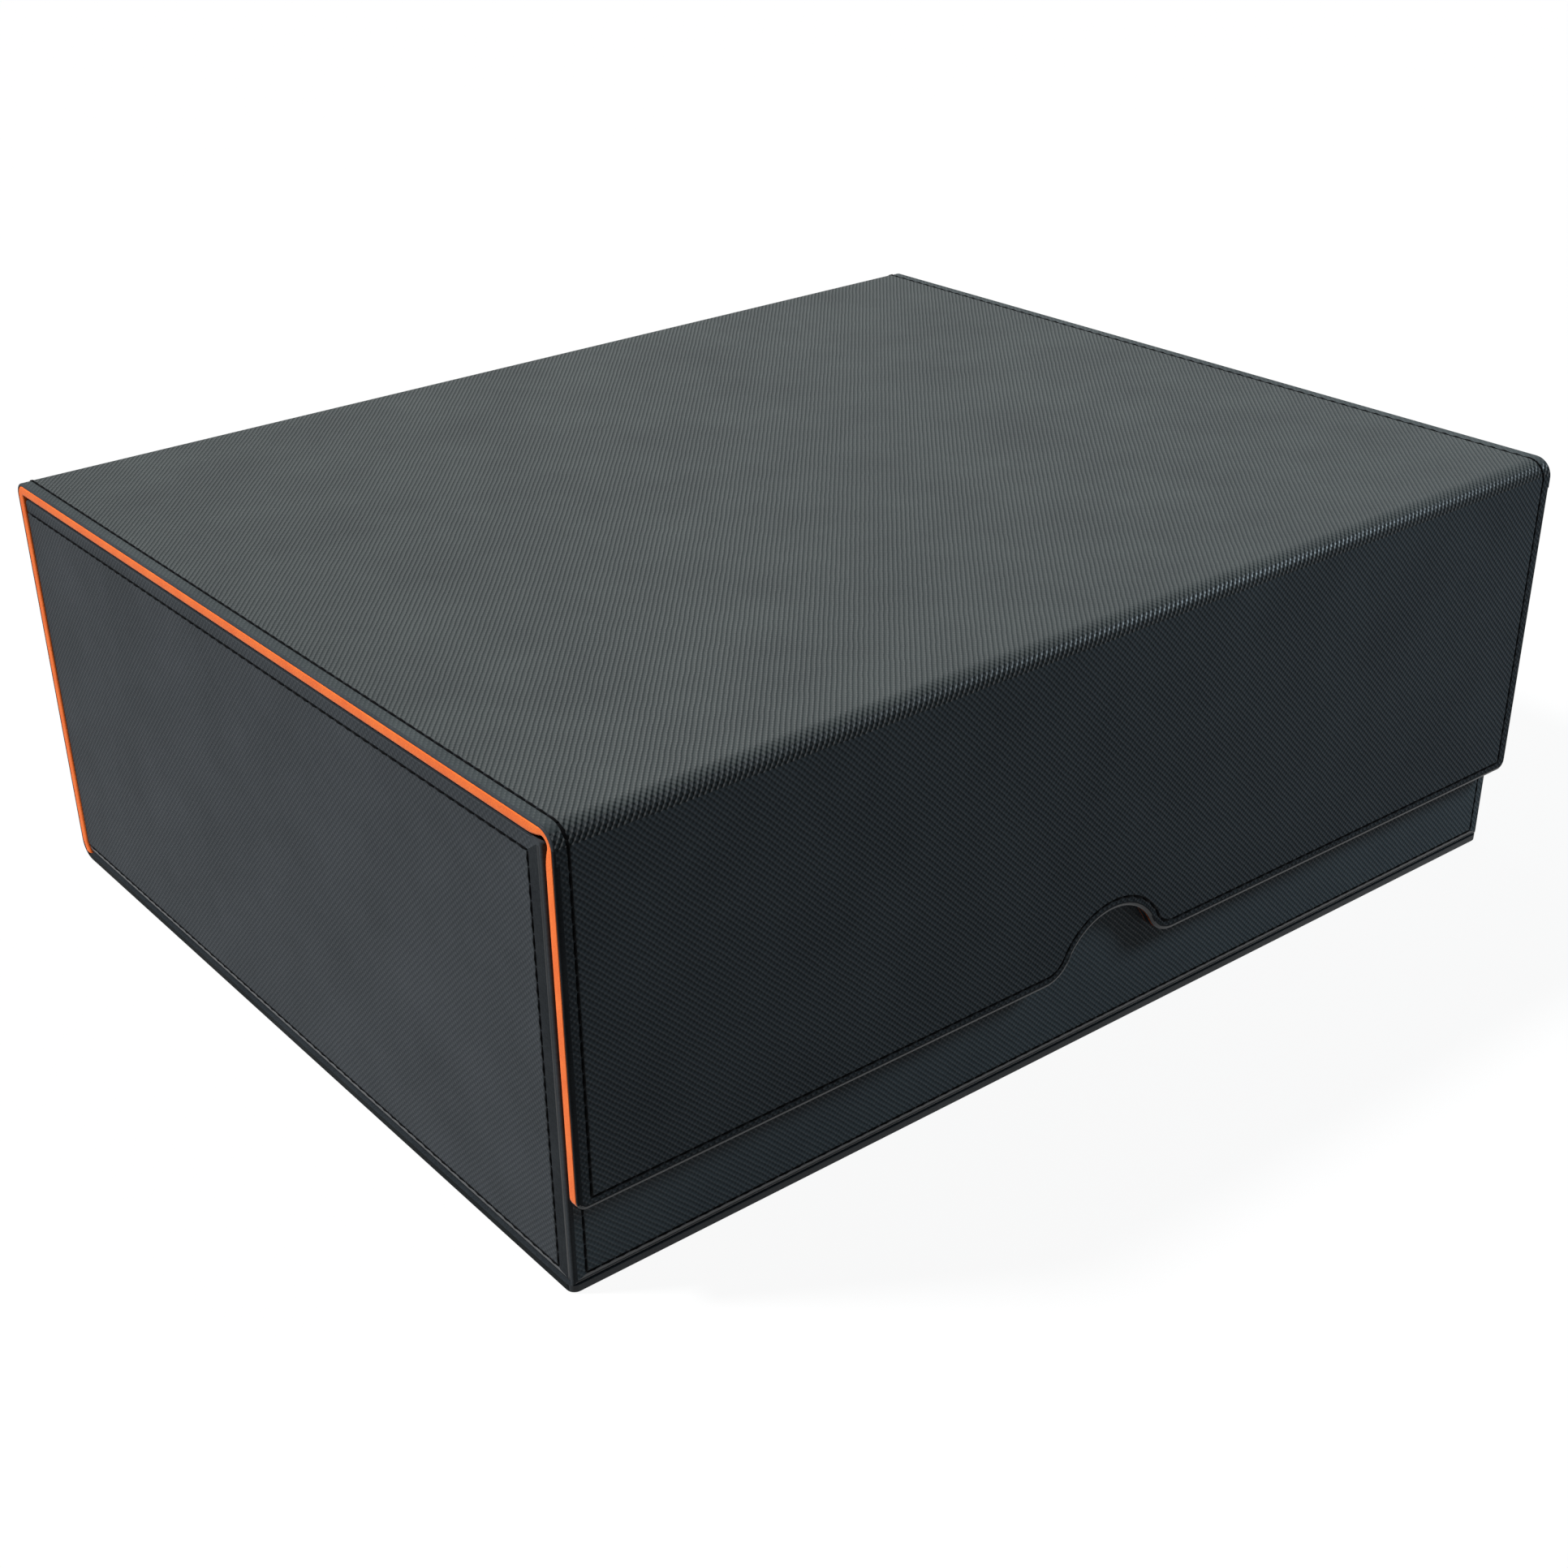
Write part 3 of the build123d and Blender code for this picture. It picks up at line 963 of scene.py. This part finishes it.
def lining_section(name, place, hollow):
    """Cross-section of the lining. A hollow one leaves room for the board."""
    edge = [(lining_soft_edge, -cover_sheet), (0, -cover_sheet - lining_soft_edge), *lining_corner()]
    if hollow:
        edge = [(lining_cloth, lining_cloth - panel), (lining_cloth, -cover_sheet), *edge]
    return mirrored_section(name, edge, place, cover_left, cover_right)


def finish_lining(piece, *nodes):
    """Give a lining its cloth, in place of its nodes."""
    finish_piece(piece, (orange_nap,))
    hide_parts(*nodes)
    return piece


def lid_lining():
    piece = lining_section("lid_lining", place_on(lid_run - lining_reach), True)
    sweep(REAR * (2 * lining_reach - lid_run))
    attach(finish_lining(piece, "top_lining"), "lid")


def back_lining():
    """Its lower end leans in, because the sheet bends under the box there."""
    low_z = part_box("back_lining")[0].z
    lean = base_fold.z - low_z

    def at_foot(width, height):
        return Vector((width, back_high.y + height - lean / 2, low_z))

    piece = lining_section("back_panel_lining", at_foot, True)
    sweep(UP * lean + REAR * (lean / 2))
    sweep(UP * (lid_fold.z - lining_reach - base_fold.z))
    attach(finish_lining(piece, "back_lining"), "box")


def fold_linings():
    """Strips inside the two folds. The flap's has steps on its flat ends too, so that it can be thinned."""
    piece = lining_section("lid_fold_strip", place_on(lid_fold_end + lining_reach), False)
    sweep_round(lid_fold, UP, -REAR, lining_reach)
    bend_at_lid(finish_lining(piece, "lid_fold_lining"))
    piece = lining_section("flap_fold_strip", place_on(lining_reach), False)
    sweep_round(flap_fold, -REAR, -UP, lining_reach, reach_steps)
    finish_lining(piece, "flap_fold_lining")
    press_channel(piece)
    bend_at_flap(piece)


def press_channel(piece):
    """Thin the flap's fold strip along its middle, which leaves it room when the flap is lifted."""
    first = flap_fold_end - lining_reach
    run = lining_reach - first
    for point in piece.data.vertices:
        length = cover_length(point.co)
        surface, _, out = on_cover(length, point.co.x, 0)
        depth = (surface - point.co).dot(out) - cover_sheet
        share = sin(pi * (length - first) / run) ** 2
        point.co += out * (depth * channel_share * share)


def flap_lining():
    """Cloth round the flap's board: soft at the front edge, rounded at the back, with room for the board."""
    top = flap_fold.z - lining_reach
    depth = panel - cover_sheet
    piece = draw_flap("flap_panel_lining", flap_low.y + cover_sheet + lining_soft_edge, top + spare)
    bpy.ops.mesh.flip_normals()
    sweep(REAR * (depth - lining_soft_edge - lining_round))
    corner = [(inset, -height) for inset, height in lining_corner()]
    work_inwards(corner)
    select_faces(piece, lambda face: face.normal.y < -level_share)
    bpy.ops.mesh.inset(thickness=lining_soft_edge, depth=lining_soft_edge, use_even_offset=True)
    bpy.ops.mesh.inset(thickness=lining_cloth - lining_soft_edge, depth=0, use_even_offset=True)
    sweep(REAR * (depth - lining_cloth))
    cut((0, 0, top), UP)
    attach(finish_lining(piece, "flap_lining"), "flap")
    turn_in_at_notch(piece)


def turn_in_at_notch(piece):
    """Leather on the rim of the notch, where the flap's outer sheet is turned in over the lining."""
    piece.data.materials.append(dull_and_groove_shade_leather)
    for face in piece.data.polygons:
        in_notch = abs(face.center.x - cover_middle) < notch_width / 2
        if in_notch and face.normal.z < -edge_lean_share and abs(face.normal.y) < edge_lean_share:
            face.material_index = len(piece.data.materials) - 1


# Walls
def wall_sheet(side, out, leathers, end_seam, both_ends):
    """A wall's outer sheet: rolled edges, a seam round it, and a strip turned over the wall's top."""
    node = f"{side}_wall_skin"
    low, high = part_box(node)
    across = Vector((abs(out.y), abs(out.x), 0))
    outer = max(low.dot(out), high.dot(out))
    first = low.dot(across)
    last = high.dot(across)
    end = last if both_ends else last + spare
    origin = out * (outer - sheet)

    def corner(reach, rise):
        return origin + across * reach + UP * rise

    corners = [corner(first, low.z), corner(end, low.z), corner(end, high.z), corner(first, high.z)]
    piece = trace(f"{side}_wall_sheet", corners)
    fill_outline(piece, out)
    groove = stitch_groove(wall_seam_bottom)
    raise_sheet(piece, out, sheet, wall_roll, groove)

    # The seam's outline is squeezed in at the ends and from the top, because its margins there are wider
    inset = groove[0][0]
    width = end - first - 2 * inset
    height = high.z - low.z - 2 * inset
    seam_ends = 2 if both_ends else 1
    narrower = 1 - seam_ends * (end_seam - wall_seam_bottom) / width
    lower = 1 - (wall_seam_top - wall_seam_bottom) / height
    fixed = corner((first + end) / 2 if both_ends else end - inset, low.z + inset)
    growth = across * narrower + UP * lower + Vector((abs(out.x), abs(out.y), 0))
    bpy.ops.transform.resize(value=growth, center_override=fixed)
    seam = sink_seam(piece, groove)
    if not both_ends:
        cut(across * last, across)

    # The strip at the back of the upper edge is drawn in over the top of the wall
    strip_low = high.z - sheet
    bpy.ops.mesh.select_all(action="SELECT")
    bpy.ops.mesh.bisect(plane_co=(0, 0, strip_low), plane_no=UP)

    def in_strip(face):
        return face.normal.dot(out) < -level_share and face.calc_center_median().z > strip_low

    select_faces(piece, in_strip)
    sweep(out * (sheet - abs((high - low).dot(out))))
    finish_piece(piece, leathers)
    paint_edges(piece, out)
    paint_low_margin(piece, low.z + wall_seam_bottom)
    if not both_ends:
        paint_side(piece, out, first + end_seam, high.z - roll_reach)
    lay_grain(piece, lambda place: place.dot(across), lambda place: place.z)
    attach(piece, "box")
    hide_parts(node)
    row = stitch_row(f"{side}_wall_stitches", along_seam(seam, out, lambda point: point.dot(across) < last))
    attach(row, "box")


# Base: one sheet under the box, turned up round its edges, with room for the board
def base_sheet():
    """Grained below, smooth at the front edge, and with painted shade at the sides. It is cut off where the
    back starts.
    """
    left = base_low.x
    right = base_high.x
    front = base_low.y + base_corner
    rear = base_high.y + spare
    top = base_high.z
    piece = start_piece("base_sheet", Vector((left, rear, top)))
    line(REAR * (front - rear))
    arc((left + base_corner, front, top), quarter, UP, base_corner_steps)
    line(RIGHT * (right - left - 2 * base_corner))
    arc((right - base_corner, front, top), quarter, UP, base_corner_steps)
    line(REAR * (rear - front))
    close_outline(piece)
    fill_outline(piece, -UP)
    paint_selected(piece, MARGIN)
    sweep(UP * (edge_roll - top))
    work_inwards(rolled_edge(edge_roll, edge_roll))
    paint_selected(piece, FIELD)
    select_faces(piece, lambda face: face.normal.z > level_share)
    bpy.ops.mesh.inset(thickness=sheet, depth=0, use_even_offset=True)
    sweep(UP * (sheet - top))
    cut((0, base_high.y, 0), REAR)
    finish_piece(piece, (margin_grained, base_leather, painted_shade_leather))
    # The base's sides get painted shade.
    for face in piece.data.polygons:
        if abs(face.normal.x) > level_share:
            face.material_index = EDGE
    lay_grain(piece, lambda place: place.x, lambda place: -place.y)
    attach(piece, "box")
    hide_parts("base_skin")


# Cloth inside the box
def glued_cloth(node, out):
    """Cloth glued flat to a wall or the floor, soft at its edges."""
    low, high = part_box(node)
    size = high - low
    depth = abs(size.dot(out))
    first, second = (way for way in (RIGHT, REAR, UP) if not way.dot(out))
    width = first * size.dot(first)
    height = second * size.dot(second)
    start = low if out.dot(size) > 0 else low - out * depth
    piece = trace(f"{node}_cloth", [start, start + width, start + width + height, start + height])
    fill_outline(piece, out)
    sweep(out * (depth - cloth_round))
    work_inwards(soft_edge(cloth_round))
    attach(finish_lining(piece, node), "box")


def rear_cloth():
    """Cloth up the rear wall and over its top."""
    low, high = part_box("rear_wall_lining")
    floor_low, floor_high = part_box("floor_lining")
    back = low.y + lining_cloth
    under = high.z - lining_cloth
    section = [(low.y, low.z)]
    section += [(low.y + inset, under + rise) for inset, rise in soft_edge(lining_cloth)]
    section += [(high.y, high.z), (high.y, under), (back, under), (back, low.z)]
    piece = trace("rear_wall_lining_cloth", [Vector((floor_low.x, y, z)) for y, z in section])
    sweep(RIGHT * (floor_high.x - floor_low.x))
    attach(finish_lining(piece, "rear_wall_lining"), "box")


def partition_cloth(number):
    """A sleeve over a partition's board, open below."""
    node = f"partition_sleeve_{number}"
    low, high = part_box(node)
    edge = [(lining_cloth, high.z - lining_cloth), (lining_cloth, low.z), (0, low.z)]
    edge += [(inset, high.z - sleeve_round + rise) for inset, rise in soft_edge(sleeve_round)]

    def at_front(width, rise):
        return Vector((width, low.y, rise))

    piece = mirrored_section(f"{node}_cloth", edge, at_front, low.x, high.x)
    sweep(REAR * (high.y - low.y))
    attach(finish_lining(piece, node), "box")


def divider_cloth(number):
    """A sleeve over a divider's board, open below and sewn round both faces."""
    node = f"divider_sleeve_{number}"
    body = f"divider_{number}"
    low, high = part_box(node)
    front = low.y + sleeve_round
    shoulder = high.z - divider_corner
    forward = -REAR
    piece = start_piece(f"{node}_cloth", Vector((low.x, front, shoulder)))
    line(UP * (low.z - shoulder))
    line(RIGHT * (high.x - low.x))
    line(UP * (shoulder - low.z))
    arc((high.x - divider_corner, front, shoulder), quarter, forward, divider_corner_steps)
    line(RIGHT * (low.x + 2 * divider_corner - high.x))
    arc((low.x + divider_corner, front, shoulder), quarter, forward, divider_corner_steps)
    close_outline(piece)
    fill_outline(piece, REAR)
    sweep(REAR * (high.y - low.y - 2 * sleeve_round))
    places = []
    groove = stitch_groove(divider_seam)
    for out in (REAR, forward):
        select_faces(piece, lambda face: face.normal.dot(out) > level_share)
        work_inwards([*soft_edge(sleeve_round), (groove[0][0], sleeve_round)])
        seam = sink_seam(piece, groove)
        places += along_seam(seam, out, lambda point: True)
    finish_piece(piece, (black_nap, black_nap, black_nap, black_nap))
    hollow_from_below(piece)
    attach(piece, body)
    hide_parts(node)
    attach(stitch_row(f"divider_stitches_{number}", places), body)


def hollow_from_below(piece):
    """Open a closed form below and give it the cloth's thickness."""
    bpy.ops.object.mode_set(mode="EDIT")
    select_faces(piece, lambda face: face.normal.z < -level_share)
    bpy.ops.mesh.delete(type="FACE")
    bpy.ops.object.mode_set(mode="OBJECT")
    shell = piece.modifiers.new("cloth", "SOLIDIFY")
    shell.thickness = lining_cloth
    shell.offset = -1
    shell.use_even_offset = True
    bpy.ops.object.modifier_apply(modifier=shell.name)


# Studio
floor_drop = 0.2 * MM
floor_radius = 6.0
floor_sides = 96
floor_unseen = colour(90, 90, 90)
floor_seen = colour(72, 72, 72)
glow_unseen = (0.06, 0.06, 0.06, 1)
glow_seen = (0.93, 0.93, 0.93, 1)
fill_light = (0.04, 0.04, 0.04, 1)
white = (1, 1, 1, 1)


def seen_directly(finish):
    """1 for rays that show the white studio: from the camera, off gloss or through glass."""
    path = finish.node("ShaderNodeLightPath")
    camera, glossy, through = (
        Value(finish, path.outputs[name])
        for name in ("Is Camera Ray", "Is Glossy Ray", "Is Transmission Ray")
    )
    return camera.at_least(glossy).at_least(through)


def studio_floor():
    """A pale floor that glows white to the camera and still takes the box's shadow."""
    bpy.ops.object.select_all(action="DESELECT")
    bpy.ops.mesh.primitive_circle_add(
        vertices=floor_sides, radius=floor_radius, fill_type="NGON", location=(0, 0, -floor_drop))
    floor = bpy.context.object
    floor.name = "floor"
    finish = Finish("pale_floor")
    seen = seen_directly(finish)
    floor.data.materials.append(finish.surface({
        "Base Color": finish.blend(seen, floor_unseen, floor_seen),
        "Roughness": 0.9,
        "Specular IOR Level": 0.0,
        "Emission Color": finish.blend(seen, glow_unseen, glow_seen),
        "Emission Strength": 1.0,
    }))


def studio_world():
    """White where it is seen, and a weak fill where it only lights."""
    world = bpy.data.worlds.new("studio")
    world.use_nodes = True
    bpy.context.scene.world = world
    finish = Finish("studio", world.node_tree)
    seen = seen_directly(finish)
    shade = finish.blend(seen, fill_light, white)
    finish.join(world.node_tree.nodes["Background"], {"Color": shade, "Strength": 1.0})


def face_from(lamp, way):
    """Turn a lamp so that its light comes from this way."""
    lamp.rotation_euler = Vector(way).to_track_quat("Z", "Y").to_euler()


def key_lamp(way, strength, spread):
    """A lamp far off in this direction. At strength 1 a colour that faces it shows as it is written."""
    bpy.ops.object.light_add(type="SUN")
    lamp = bpy.context.object
    lamp.name = "key"
    lamp.data.energy = strength * pi
    lamp.data.angle = spread
    face_from(lamp, way)


def fill_lamp(target, way, distance, strength, width, tint):
    """A round soft lamp near the box. Strength is as for the key, at the target."""
    bpy.ops.object.light_add(type="AREA")
    lamp = bpy.context.object
    lamp.name = "fill"
    lamp.data.shape = "DISK"
    lamp.data.size = width
    lamp.data.energy = strength * pi**2 * distance**2
    lamp.data.color = tint
    lamp.location = target + Vector(way).normalized() * distance
    face_from(lamp, way)


# Camera, as the photograph was taken
photo_pixels = 1932
focal_pixels = 2749.0
centre_across = 872.4  # pixel that the lens looks at
centre_down = 1047.5
camera_place = Vector((-346.3, -435.1, 309.2)) * MM
camera_azimuth = radians(-36.473)
camera_elevation = radians(29.059)
camera_roll = radians(-1.8)


def photo_camera():
    bpy.ops.object.camera_add(location=camera_place)
    camera = bpy.context.object
    aim = Euler((quarter - camera_elevation, 0, camera_azimuth)).to_matrix()
    roll = Matrix.Rotation(camera_roll, 3, "Z")
    camera.rotation_euler = (aim @ roll).to_euler()
    camera.data.lens = focal_pixels / photo_pixels * camera.data.sensor_width
    camera.data.shift_x = 0.5 - centre_across / photo_pixels
    camera.data.shift_y = centre_down / photo_pixels - 0.5
    camera.data.clip_start = 1 * MM
    bpy.context.scene.camera = camera


dress_solids()
pattern_stitch = one_stitch()
back_sheet()
lid_fold_sheet()
lid_sheet()
flap_fold_sheet()
flap_sheet()
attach(cover_stitches("lid_stitches", sheet_reach, lid_run - sheet_reach), "lid")
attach(cover_stitches("back_stitches", lid_fold_end + sheet_reach, lid_run + lid_fold.z), "box")
bend_at_flap(cover_stitches("flap_fold_stitches", flap_fold_end, sheet_reach))
bend_at_lid(cover_stitches("lid_fold_stitches", lid_run - sheet_reach, lid_fold_end + sheet_reach))
lid_lining()
back_lining()
fold_linings()
flap_lining()
front_leathers = (front_wall_painted_light, front_wall_painted_light, pressed, rim_and_groove_shade_leather, polished)
side_leathers = (side_painted_shade, side_margin_painted_shade, pressed, dull_and_groove_shade_leather, polished)
wall_sheet("front", -REAR, front_leathers, wall_seam_side, both_ends=True)
wall_sheet("left", -RIGHT, side_leathers, wall_seam_front, both_ends=False)
wall_sheet("right", RIGHT, side_leathers, wall_seam_front, both_ends=False)
base_sheet()
for node, out in (
    ("front_wall_lining", REAR),
    ("left_wall_lining", RIGHT),
    ("right_wall_lining", -RIGHT),
    ("floor_lining", UP),
):
    glued_cloth(node, out)
rear_cloth()
for number in range(1, row_count):
    partition_cloth(number)
for number in range(1, row_count + 1):
    divider_cloth(number)
bpy.data.objects.remove(pattern_stitch)
studio_floor()
studio_world()
key_lamp(way=(-0.96, 0.7, 1.2), strength=1.53, spread=radians(8))
front_middle = Vector((cover_middle, flap_low.y, lid_top / 2))
lid_middle = Vector((cover_middle, 0, lid_top))
fill_lamp(
    front_middle, way=(0.78, -0.45, 0.6), distance=0.72, strength=0.33, width=0.2, tint=(0.7, 0.88, 1.0))
fill_lamp(
    lid_middle, way=(0.35, 0.5, 0.79), distance=0.45, strength=0.21, width=0.25, tint=(1.0, 0.99, 0.95))
photo_camera()
bpy.context.scene.view_settings.view_transform = "Standard"
